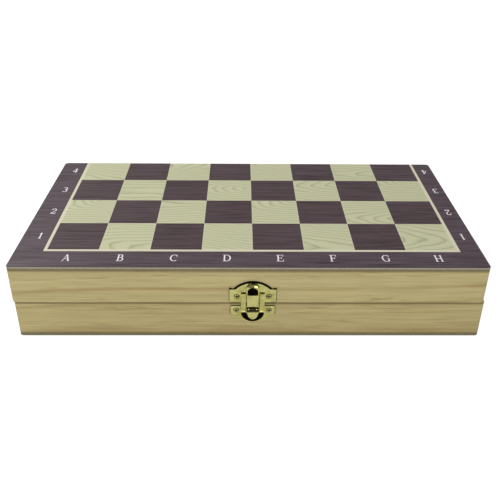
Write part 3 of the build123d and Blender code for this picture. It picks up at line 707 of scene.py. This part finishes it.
white_ink, tree = new_material("white_ink")
place = add_node(tree, "ShaderNodeTexCoord")
worn = noise(tree, place.outputs["Object"], wear_stretch, 2.0, 0.6)
ink_colour = blend_colours(tree, ramp(tree, worn, [(0.35, 0.0), (0.7, 1.0)]), ink_white, ink_worn)
add_surface(tree, {"Base Color": ink_colour, "Roughness": 0.5})

for half, body, facing, face_height, ranks in [
    ("upper", "lid", 1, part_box("upper_playing_sheet")[1].z, "1234"),
    ("lower", "lower_case", -1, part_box("lower_playing_sheet")[0].z, "8765"),
]:
    characters = []
    for i, letter in enumerate("ABCDEFGH"):
        letter_x = letter_offset + (i + 0.5 - half_files) * letter_pitch
        characters.append((letter, letter_x, letter_line - half_depth, facing))
    for i, rank in enumerate(ranks):
        rank_y = front_margin - half_depth + (i + 0.5) * square
        characters.append((rank, number_offset - number_reach, rank_y, 1))
        characters.append((rank, number_offset + number_reach, rank_y, -1))
    points, faces = [], []
    for name, x, y, turned in characters:
        shape, triangles = ink_glyph(name)
        faces += [tuple(len(points) + i for i in triangle) for triangle in triangles]
        width = turned * character_height * narrowing
        rise = turned * facing * character_height
        points += [(x + width * p.x, y + rise * p.y, face_height) for p in shape]
    lettering_mesh = new_mesh(f"{half}_lettering", points, faces)
    lettering_mesh.materials.append(white_ink)
    lettering = new_object(f"{half}_lettering", lettering_mesh)
    thicken = lettering.modifiers.new("ink", "SOLIDIFY")
    thicken.thickness = ink_thickness
    thicken.offset = 1.0
    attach(lettering, body)


# The toggle latch is stamped from thin steel and plated bright yellow: a strike plate with a hook
# over a window, a base plate with ears, a lever, and a link whose loop drops over the hook. Two
# cross-head screws hold each plate, and the lever and link turn on pins painted dark as shade.
def merged_copy(node, name):
    """A new piece with the shape of a node, its loose triangles joined into whole faces."""
    shape = bmesh.new()
    shape.from_mesh(nodes[node].data)
    bmesh.ops.remove_doubles(shape, verts=shape.verts, dist=weld_reach)
    bmesh.ops.dissolve_limit(shape, angle_limit=flat_angle, verts=shape.verts, edges=shape.edges)
    bmesh.ops.recalc_face_normals(shape, faces=shape.faces)
    mesh = bpy.data.meshes.new(name)
    shape.to_mesh(mesh)
    shape.free()
    return new_object(name, mesh)


def finished_mesh(piece, name):
    """The plain mesh that a piece's modifiers make of it."""
    mesh = bpy.data.meshes.new_from_object(piece.evaluated_get(bpy.context.evaluated_depsgraph_get()))
    mesh.name = name
    return mesh


latch_sheet = 0.6 * mm
latch_face = -half_depth - latch_sheet
stain_stretch = (260, 260, 260)
scuff_stretch = (3500, 500, 500)
scuff_dulling = 0.14
scuff_depth = 0.3
painted_shade_colour = (0.008, 0.007, 0.004, 1)
plated_metal, given, result = new_group(
    "plated metal",
    [("Vector", "NodeSocketVector", None), ("Shine", "NodeSocketFloat", 0.2)],
    ["Tarnish", "Roughness", "Height"])
stain = noise(plated_metal, given.outputs["Vector"], stain_stretch, 3.0, 0.6)
scuffs = noise(plated_metal, given.outputs["Vector"], scuff_stretch, 2.0, 0.6)
tarnish = ramp(plated_metal, stain, [(0.42, 0.0), (0.75, 1.0)])
scuffed = calculate(plated_metal, "MULTIPLY_ADD", scuffs, scuff_dulling, given.outputs["Shine"])
dented = calculate(plated_metal, "MULTIPLY_ADD", scuffs, scuff_depth, stain)
plated_metal.links.new(tarnish, result.inputs["Tarnish"])
plated_metal.links.new(scuffed, result.inputs["Roughness"])
plated_metal.links.new(dented, result.inputs["Height"])


def plated_finish(name, bright, dull, shine, form=None):
    """A plated metal in two shades, with its polish; form gives a finer relief and painted shade."""
    material, tree = new_material(name)
    place = add_node(tree, "ShaderNodeTexCoord")
    finish = use_group(tree, plated_metal, {"Vector": place.outputs["Object"], "Shine": shine})
    colour = blend_colours(tree, finish.outputs["Tarnish"], bright, dull)
    bump = add_node(tree, "ShaderNodeBump", {"Strength": 0.2, "Distance": 0.15 * mm,
                                             "Height": finish.outputs["Height"]})
    if form:
        relief, painted_shade = form(tree, add_node(tree, "ShaderNodeSeparateXYZ", {0: place.outputs["Object"]}))
        colour = blend_colours(tree, painted_shade, colour, painted_shade_colour)
        bump = add_node(tree, "ShaderNodeBump", {"Strength": 1.0, "Distance": 1.0 * mm, "Height": relief,
                                                 "Normal": bump.outputs[0]})
    add_surface(tree, {"Base Color": colour, "Metallic": 1.0, "Roughness": finish.outputs["Roughness"],
                       "Normal": bump.outputs[0]})
    return material


def slope(tree, value, low, high, at_low, at_high, curve="LINEAR"):
    """A level that goes from one to another while a value goes from low to high."""
    return add_node(tree, "ShaderNodeMapRange", {
        "Value": value, "From Min": low, "From Max": high, "To Min": at_low, "To Max": at_high},
        interpolation_type=curve).outputs[0]


dome_half_width = 12.3 * mm
dome_foot = 11.0 * mm
dome_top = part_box("latch_strike_plate")[1].z - seam_height
dome_rise = dome_top - dome_foot
dome_radius = (dome_rise ** 2 + dome_half_width ** 2) / (2 * dome_rise)
dome_rim = 1.4 * mm
dome_rim_foot = 10.6 * mm
horn_inner = 12.0 * mm
horn_foot = 11.1 * mm
hook_bend_foot = 13.8 * mm
hook_top = 16.0 * mm
hook_gap = 0.1 * mm
hook_bend_relief = 1.2
hook_darkness = 0.9
glint_left = 0.9 * mm
glint_right = 2.9 * mm
glint_top = 15.2 * mm


def strike_form(tree, spot):
    """Painted shade darkens the rounded hook but for a glint, and the dome's upper rim and its horns."""
    above = above_seam(tree, spot)
    from_middle = distance_from(tree, spot, 0.0, dome_top - dome_radius)
    # The rim and horn bands are painted shade and a painted dark reflection.
    rim_shade = calculate(tree, "MULTIPLY", calculate(tree, "GREATER_THAN", from_middle, dome_radius - dome_rim),
                    calculate(tree, "GREATER_THAN", above, dome_rim_foot))
    horn_shade = calculate(tree, "MULTIPLY", calculate(tree, "GREATER_THAN", beside_latch(tree, spot), horn_inner),
                     calculate(tree, "GREATER_THAN", above, horn_foot))
    on_plate = calculate(tree, "GREATER_THAN", spot.outputs["Y"], latch_face - hook_gap)
    on_hook = calculate(tree, "SUBTRACT", 1.0, on_plate)
    # The hook's painted shade leaves out a strip on its right, where its own reflection shows as a glint.
    glint = calculate(tree, "MULTIPLY", calculate(tree, "LESS_THAN", above, glint_top), within(
        tree, spot.outputs["X"], latch_middle + glint_left, latch_middle + glint_right))
    hook_shade = calculate(tree, "MULTIPLY_ADD", glint, -hook_darkness, hook_darkness)
    relief = slope(tree, above, hook_bend_foot, hook_top, hook_bend_relief, 0.0)
    plate_shade = calculate(tree, "MULTIPLY", calculate(tree, "MAXIMUM", rim_shade, horn_shade), on_plate)
    return calculate(tree, "MULTIPLY", relief, on_hook), calculate(
        tree, "MAXIMUM", plate_shade, calculate(tree, "MULTIPLY", hook_shade, on_hook))


link_shoulder_inner = 4.2 * mm
link_shoulder_foot = 7.75 * mm
link_shoulder_top = 9.0 * mm
link_slot_inner = 3.65 * mm
link_slot_outer = 4.45 * mm
link_slot_top = 7.3 * mm
link_darkness = 0.85


def link_form(tree, spot):
    """Painted shade lies along the link's shoulders and in the slots beside its raised panel."""
    aside = beside_latch(tree, spot)
    above = above_seam(tree, spot)
    shoulders = calculate(tree, "MULTIPLY", calculate(tree, "GREATER_THAN", aside, link_shoulder_inner),
                          within(tree, above, link_shoulder_foot, link_shoulder_top))
    slots = calculate(tree, "MULTIPLY", within(tree, aside, link_slot_inner, link_slot_outer),
                      calculate(tree, "LESS_THAN", above, link_slot_top))
    return 0.0, calculate(tree, "MULTIPLY", calculate(tree, "MAXIMUM", shoulders, slots), link_darkness)


base_window_edge = 7.5 * mm
base_window_top = -7.6 * mm


def base_form(tree, spot):
    """Painted shade darkens the base plate round the lower part of its round window."""
    under = calculate(tree, "LESS_THAN", above_seam(tree, spot), base_window_top)
    near = calculate(tree, "LESS_THAN", distance_from(tree, spot, 0.0, base_window_middle), base_window_edge)
    return 0.0, calculate(tree, "MULTIPLY", under, near)


lever_shade_foot = -5.2 * mm
lever_shade_top = -4.4 * mm
lever_darkness = 0.93


def lever_form(tree, spot):
    """The lever's top lies in the link's shade, over its bright tab."""
    return 0.0, slope(tree, above_seam(tree, spot), lever_shade_foot, lever_shade_top, 0.0, lever_darkness)


# A screw's place: how far beside the latch's middle line, and how far above the seam.
upper_screw = (10.2 * mm, 5.3 * mm)
lower_screw = (10.5 * mm, -5.6 * mm)
screw_rim_inner = 1.5 * mm
screw_rim_outer = 2.1 * mm
screw_rim_rise = 0.3 * mm
screw_dome_inner = 1.1 * mm
screw_dome_outer = 2.0 * mm
screw_dome_relief = 0.9
recess_depth = 0.12 * mm
cross_hub = 0.75 * mm
recess_darkness = 0.9
screw_rim_darkness = 0.8


def screw_form(tree, spot):
    """A screw head is domed, with painted shade in its cross and round the upper side of its rim."""
    above = above_seam(tree, spot)
    from_middle = calculate(tree, "MINIMUM", distance_from(tree, spot, *upper_screw),
                            distance_from(tree, spot, *lower_screw))
    over_upper = calculate(tree, "GREATER_THAN", above, upper_screw[1] + screw_rim_rise)
    over_lower = within(tree, above, lower_screw[1] + screw_rim_rise, 0.0)
    rim_shade = calculate(tree, "MULTIPLY", calculate(tree, "MAXIMUM", over_upper, over_lower),
                    within(tree, from_middle, screw_rim_inner, screw_rim_outer))
    relief = slope(tree, from_middle, screw_dome_inner, screw_dome_outer, screw_dome_relief, 0.0,
                   "SMOOTHSTEP")
    recess = calculate(tree, "MAXIMUM",
                       calculate(tree, "GREATER_THAN", spot.outputs["Y"], latch_face + recess_depth),
                       calculate(tree, "LESS_THAN", from_middle, cross_hub))
    return relief, calculate(tree, "MAXIMUM", calculate(tree, "MULTIPLY", recess, recess_darkness),
                             calculate(tree, "MULTIPLY", rim_shade, screw_rim_darkness))


strike_window_half_width = 3.5 * mm
strike_window_foot = 4.2 * mm
strike_window_spring = 8.2 * mm
punch_reach = 1.0 * mm
punch_steps = 16


def window_punch():
    """The punch for the strike plate's window: straight sides and a round top."""
    outline = []
    for step in range(punch_steps + 1):
        turn = math.pi * step / punch_steps
        outline.append((strike_window_half_width * math.cos(turn),
                        strike_window_spring + strike_window_half_width * math.sin(turn)))
    outline += [(-strike_window_half_width, strike_window_foot),
                (strike_window_half_width, strike_window_foot)]
    points = [(latch_middle + x, y, seam_height + z)
              for y in (latch_face - punch_reach, latch_face + punch_reach) for x, z in outline]
    count = len(outline)
    after = [(i + 1) % count for i in range(count)]
    faces = [tuple(range(count)), tuple(reversed(range(count, 2 * count)))]
    faces += [(after[i], i, count + i, count + after[i]) for i in range(count)]
    return new_object("window_punch", new_mesh("window_punch", points, faces))


latch_bright = srgb(175, 171, 109)
latch_dull = srgb(140, 133, 74)
latch_shine = 0.16
latch_easing = 0.22 * mm
latch_easing_steps = 3
latch_finishes = {
    "base_brass": (base_form, ["latch_base_plate"]),
    "link_brass": (link_form, ["latch_link"]),
    "lever_brass": (lever_form, ["latch_lever"]),
    "screw_brass": (screw_form, ["latch_base_screws", "latch_strike_screws"]),
}
for name, (form, names) in latch_finishes.items():
    dress(names, plated_finish(name, latch_bright, latch_dull, latch_shine, form))
# The pins are painted nearly black: painted shade in the gap under the link.
shaded_pin_metal = plated_finish("shaded_pin_metal", srgb(66, 60, 38), srgb(44, 40, 28), shine=0.3)
dress(["latch_lever_pin", "latch_link_pin"], shaded_pin_metal)

blank = merged_copy("latch_strike_plate", "strike_blank")
punch = window_punch()
punching = blank.modifiers.new("window", "BOOLEAN")
punching.operation = "DIFFERENCE"
punching.solver = "EXACT"
punching.object = punch
strike_plate = new_object("stamped_strike_plate", finished_mesh(blank, "stamped_strike_plate"))
bpy.data.objects.remove(blank)
bpy.data.objects.remove(punch)
strike_brass = plated_finish("strike_brass", latch_bright, latch_dull, latch_shine, strike_form)
strike_plate.data.materials.append(strike_brass)
ease_edges([nodes["latch_base_plate"], nodes["latch_lever"], nodes["latch_link"], strike_plate],
           latch_easing, latch_easing_steps)
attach(strike_plate, "lid")
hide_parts("latch_strike_plate")


# Two small butt hinges of plated steel join the halves at the back. Each leaf is let into a rear
# rail and held by three short screws, and the knuckles turn on a plain pin.
hinge_brass = plated_finish("hinge_brass", srgb(214, 196, 128), srgb(180, 160, 92), shine=0.24)
hinge_leaves = [f"{side}_hinge_{half}_leaf" for side in ("left", "right") for half in ("lower", "upper")]
hinge_turned = ["left_hinge_pin", "right_hinge_pin", "lower_hinge_screws", "upper_hinge_screws"]
dress(hinge_leaves + hinge_turned, hinge_brass)


# The foam trays are cut from soft black foam, with a two-step pocket for each man, and lie loose
# in the halves. Their cut edges are soft and slightly rounded.
foam_easing = 0.7 * mm
foam_easing_steps = 3
foam_pale = srgb(54, 53, 56)
foam_black = srgb(38, 38, 41)
foam_pore_shade = srgb(24, 24, 26)
foam_cell_scale = 1400.0
pore_shade_strength = 0.5
foam_cloud_stretch = (60, 60, 60)
black_foam, tree = new_material("black_foam")
place = add_node(tree, "ShaderNodeTexCoord")
cells = add_node(tree, "ShaderNodeTexVoronoi", {"Vector": place.outputs["Object"], "Scale": foam_cell_scale})
clouds = noise(tree, place.outputs["Object"], foam_cloud_stretch, 2.0, 0.5)
foam_colour = blend_colours(tree, clouds, foam_black, foam_pale)
# Painted shade darkens the foam towards the edges of its cells.
pore_shade = calculate(tree, "MULTIPLY", cells.outputs["Distance"], pore_shade_strength)
foam_colour = blend_colours(tree, pore_shade, foam_colour, foam_pore_shade)
bump = add_node(tree, "ShaderNodeBump", {"Strength": 0.5, "Distance": 0.3 * mm,
                                         "Height": cells.outputs["Distance"]})
add_surface(tree, {"Base Color": foam_colour, "Roughness": 0.9, "Normal": bump.outputs[0],
                   "Sheen Weight": 0.3})

for half, body in (("lower", "lower_case"), ("upper", "lid")):
    tray = merged_copy(f"{half}_foam_tray", f"{half}_cut_foam")
    tray.data.materials.append(black_foam)
    softened = tray.modifiers.new("soft edges", "BEVEL")
    softened.width = foam_easing
    softened.segments = foam_easing_steps
    softened.limit_method = "ANGLE"
    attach(tray, body)
    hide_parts(f"{half}_foam_tray")


# The men are turned from a close-grained hardwood, with sawn heads on the knights, and dipped:
# sixteen in clear lacquer, sixteen in dark brown stain. The grain runs up each man, and the men lie
# from front to back in their pockets.
heart_offset = (0, 11 * mm, 4 * mm)
men_ring_strength = 0.5
men_streak_strength = 0.5


def turned_wood(name, pale, band, streak, roughness):
    """A lacquered turned wood with its grain along the men."""
    material, tree = new_material(name)
    place = add_node(tree, "ShaderNodeTexCoord")
    turned = add_node(tree, "ShaderNodeMapping", {"Vector": place.outputs["Object"], "Location": heart_offset,
                                                  "Rotation": (0, 0, math.pi / 2)})
    grain = use_group(tree, wood_grain, {"Vector": turned.outputs[0], "Ring Spacing": 2.1 * mm,
                                         "Waviness": 3.0 * mm, "Wave Length": 50 * mm})
    rings = calculate(tree, "MULTIPLY", grain.outputs["Rings"], men_ring_strength)
    streaks = calculate(tree, "MULTIPLY", grain.outputs["Streaks"], men_streak_strength)
    colour = blend_colours(tree, streaks, blend_colours(tree, rings, pale, band), streak)
    fibre_shade = ramp(tree, grain.outputs["Fibres"], [(0.3, 0.42), (0.7, 0.58)])
    colour = blend_colours(tree, 1.0, colour, fibre_shade, "OVERLAY")
    bump = add_node(tree, "ShaderNodeBump", {"Strength": 0.12, "Distance": 0.1 * mm,
                                             "Height": grain.outputs["Fibres"]})
    add_surface(tree, {"Base Color": colour, "Roughness": roughness, "Normal": bump.outputs[0],
                       "Coat Weight": 0.35, "Coat Roughness": 0.15})
    return material


light_wood = turned_wood("light_men_wood", srgb(222, 196, 150), srgb(198, 164, 112), srgb(160, 122, 78),
                         roughness=0.42)
dark_wood = turned_wood("dark_men_wood", srgb(92, 54, 36), srgb(62, 34, 24), srgb(38, 22, 16),
                        roughness=0.38)
men = ["king", "queen", "left_rook", "right_rook", "left_knight", "right_knight", "left_bishop",
       "right_bishop", "pawns"]
dress([f"light_{man}" for man in men], light_wood)
dress([f"dark_{man}" for man in men], dark_wood)


# A disc magnet is pressed into the foot of each man, under the felt. It is sintered and plated
# with nickel.
magnet_nickel = plated_finish("magnet_nickel", srgb(200, 200, 204), srgb(164, 164, 170), shine=0.2)
dress(["light_magnets", "dark_magnets"], magnet_nickel)


# A green felt disc is glued under each man, over its magnet. It is punched from a thin sheet, and
# its cut edge is soft and fluffy.
felt_deep = srgb(22, 74, 48)
felt_pale = srgb(52, 118, 80)
fluff_stretch = (2600, 2600, 2600)
green_felt, tree = new_material("green_felt")
place = add_node(tree, "ShaderNodeTexCoord")
fluff = noise(tree, place.outputs["Object"], fluff_stretch, 4.0, 0.7)
felt_colour = blend_colours(tree, fluff, felt_deep, felt_pale)
bump = add_node(tree, "ShaderNodeBump", {"Strength": 0.6, "Distance": 0.3 * mm, "Height": fluff})
add_surface(tree, {"Base Color": felt_colour, "Roughness": 0.95, "Normal": bump.outputs[0],
                   "Sheen Weight": 0.5})


def loose_parts(node):
    """The box of each separate solid of a node, as (lowest, highest) corners."""
    shape = bmesh.new()
    shape.from_mesh(nodes[node].data)
    bmesh.ops.remove_doubles(shape, verts=shape.verts, dist=weld_reach)
    left = set(shape.verts)
    found = []
    while left:
        reached = [left.pop()]
        part = []
        while reached:
            corner = reached.pop()
            part.append(corner.co.copy())
            for edge in corner.link_edges:
                other = edge.other_vert(corner)
                if other in left:
                    left.remove(other)
                    reached.append(other)
        found.append((Vector(map(min, *part)), Vector(map(max, *part))))
    shape.free()
    return sorted(found, key=lambda box: tuple(box[0]))


felt_sizes = {"Thickness": 0.8 * mm, "Fluff": 0.12 * mm, "Tuft Scale": 900.0}
felt_tree = bpy.data.node_groups.new("felt discs", "GeometryNodeTree")
felt_tree.interface.new_socket(name="Geometry", in_out="INPUT", socket_type="NodeSocketGeometry")
felt_inputs = {name: felt_tree.interface.new_socket(name=name, in_out="INPUT", socket_type="NodeSocketFloat")
               for name in felt_sizes}
felt_tree.interface.new_socket(name="Geometry", in_out="OUTPUT", socket_type="NodeSocketGeometry")
given = felt_tree.nodes.new("NodeGroupInput")
result = felt_tree.nodes.new("NodeGroupOutput")
felt_radius = add_node(felt_tree, "GeometryNodeInputNamedAttribute", {"Name": "radius"}, data_type="FLOAT")
disc = add_node(felt_tree, "GeometryNodeMeshCylinder", {
    "Vertices": 48, "Side Segments": 3, "Fill Segments": 5, "Radius": 1.0,
    "Depth": given.outputs["Thickness"]})
disc_size = add_node(felt_tree, "ShaderNodeCombineXYZ", {
    0: felt_radius.outputs[0], 1: felt_radius.outputs[0], 2: 1.0})
laid = add_node(felt_tree, "GeometryNodeInstanceOnPoints", {
    "Points": given.outputs["Geometry"], "Instance": disc.outputs["Mesh"],
    "Rotation": (math.pi / 2, 0, 0), "Scale": disc_size.outputs[0]})
real = add_node(felt_tree, "GeometryNodeRealizeInstances", {0: laid.outputs[0]})
where = add_node(felt_tree, "GeometryNodeInputPosition")
tufts = add_node(felt_tree, "ShaderNodeTexNoise", {
    "Vector": where.outputs[0], "Scale": given.outputs["Tuft Scale"], "Detail": 2.0})
centred = add_node(felt_tree, "ShaderNodeVectorMath", {0: tufts.outputs["Color"], 1: (0.5, 0.5, 0.5)},
                   operation="SUBTRACT")
moved = add_node(felt_tree, "ShaderNodeVectorMath", {0: centred.outputs[0], "Scale": given.outputs["Fluff"]},
                 operation="SCALE")
fluffed = add_node(felt_tree, "GeometryNodeSetPosition", {0: real.outputs[0], "Offset": moved.outputs[0]})
coloured = add_node(felt_tree, "GeometryNodeSetMaterial", {0: fluffed.outputs[0], "Material": green_felt})
felt_tree.links.new(coloured.outputs[0], result.inputs[0])

for colour_name, body in (("light", "lower_case"), ("dark", "lid")):
    discs = loose_parts(f"{colour_name}_felts")
    seat_mesh = new_mesh(f"{colour_name}_seats", [(low + high) / 2 for low, high in discs], [])
    radii = seat_mesh.attributes.new("radius", "FLOAT", "POINT")
    radii.data.foreach_set("value", [(high.x - low.x) / 2 for low, high in discs])
    seats = new_object(f"{colour_name}_seats", seat_mesh)
    growing = seats.modifiers.new("felts", "NODES")
    growing.node_group = felt_tree
    for name, size in felt_sizes.items():
        growing[felt_inputs[name].identifier] = size
    felts = new_object(f"{colour_name}_felt_discs", finished_mesh(seats, f"{colour_name}_felt_discs"))
    bpy.data.objects.remove(seats)
    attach(felts, body)
    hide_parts(f"{colour_name}_felts")
